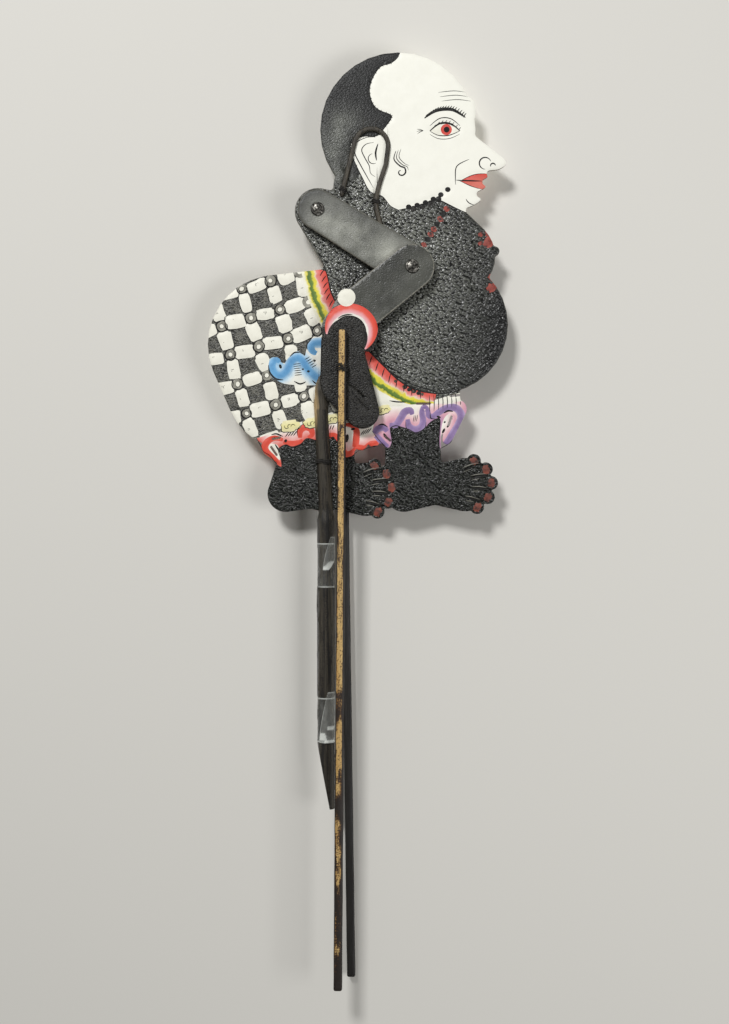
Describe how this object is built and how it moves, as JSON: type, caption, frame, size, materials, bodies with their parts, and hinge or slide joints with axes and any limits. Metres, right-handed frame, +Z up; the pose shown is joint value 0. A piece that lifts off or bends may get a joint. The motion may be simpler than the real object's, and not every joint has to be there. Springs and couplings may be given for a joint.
{
  "type": "hide shadow puppet",
  "caption": "Flat painted hide shadow puppet of a stout attendant in profile, with riveted jointed arms, a split main rod that clamps the figure and a thin control rod tied to each hand.",
  "frame": {"origin": "on the axis of the main rod, at the middle of the grip between the two tape bands", "axes": "+X the way the figure faces, +Y from the front face to the rear face, +Z up along the main rod"},
  "size_m": [0.1295, 0.023, 0.4018],
  "materials": {
    "body_hide": "black and coloured paint over pebbled hide",
    "arm_hide": "smooth dark paint",
    "collar_hide": "raw dark hide",
    "rod_wood": "dark fibrous wood, oiled",
    "worn_bamboo": "bamboo with worn black paint",
    "dark_bamboo": "black paint over bamboo",
    "clear_tape": "clear film",
    "thread": "waxed black thread",
    "rivet_metal": "blackened, rubbed at the peened end"
  },
  "bodies": {
    "figure": {"figure_hide": "body_hide", "main_rod_front_half": "rod_wood", "main_rod_rear_half": "rod_wood", "upper_tape_band": "clear_tape", "lower_tape_band": "clear_tape", "neck_tie": "thread", "jaw_tie": "thread", "waist_tie": "thread", "hem_tie": "thread", "shoulder_rivet": "rivet_metal", "shoulder_washer": "rivet_metal", "front_shoulder_collar": "collar_hide", "rear_shoulder_collar": "collar_hide"},
    "front_upper_arm": {"front_upper_arm": "arm_hide", "front_elbow_rivet": "rivet_metal", "front_elbow_washer": "rivet_metal"},
    "rear_upper_arm": {"rear_upper_arm": "arm_hide", "rear_elbow_rivet": "rivet_metal", "rear_elbow_washer": "rivet_metal"},
    "front_forearm": {"front_forearm": "arm_hide"},
    "rear_forearm": {"rear_forearm": "arm_hide"},
    "front_rod": {"front_control_rod": "worn_bamboo", "front_rod_tie": "thread"},
    "rear_rod": {"rear_control_rod": "dark_bamboo", "rear_rod_tie": "thread"}
  },
  "joints": [
    {"name": "front_shoulder", "type": "hinge", "parent": "figure", "child": "front_upper_arm", "pos_m": [-0.0035, -0.0045, 0.186], "axis": [0, -1, 0], "range_deg": [-75, 120]},
    {"name": "front_elbow", "type": "hinge", "parent": "front_upper_arm", "child": "front_forearm", "pos_m": [0.037, -0.0062, 0.16118], "axis": [0, -1, 0], "range_deg": [-55, 90]},
    {"name": "front_rod_swing", "type": "hinge", "parent": "front_forearm", "child": "front_rod", "pos_m": [0.00706, -0.0062, 0.1177], "axis": [0, -1, 0], "range_deg": [-75, 75]},
    {"name": "rear_shoulder", "type": "hinge", "parent": "figure", "child": "rear_upper_arm", "pos_m": [-0.0035, 0.0045, 0.186], "axis": [0, -1, 0], "range_deg": [-75, 120]},
    {"name": "rear_elbow", "type": "hinge", "parent": "rear_upper_arm", "child": "rear_forearm", "pos_m": [0.037, 0.0062, 0.16118], "axis": [0, -1, 0], "range_deg": [-55, 90]},
    {"name": "rear_rod_swing", "type": "hinge", "parent": "rear_forearm", "child": "rear_rod", "pos_m": [0.00706, 0.0062, 0.1177], "axis": [0, -1, 0], "range_deg": [-75, 75]}
  ]
}
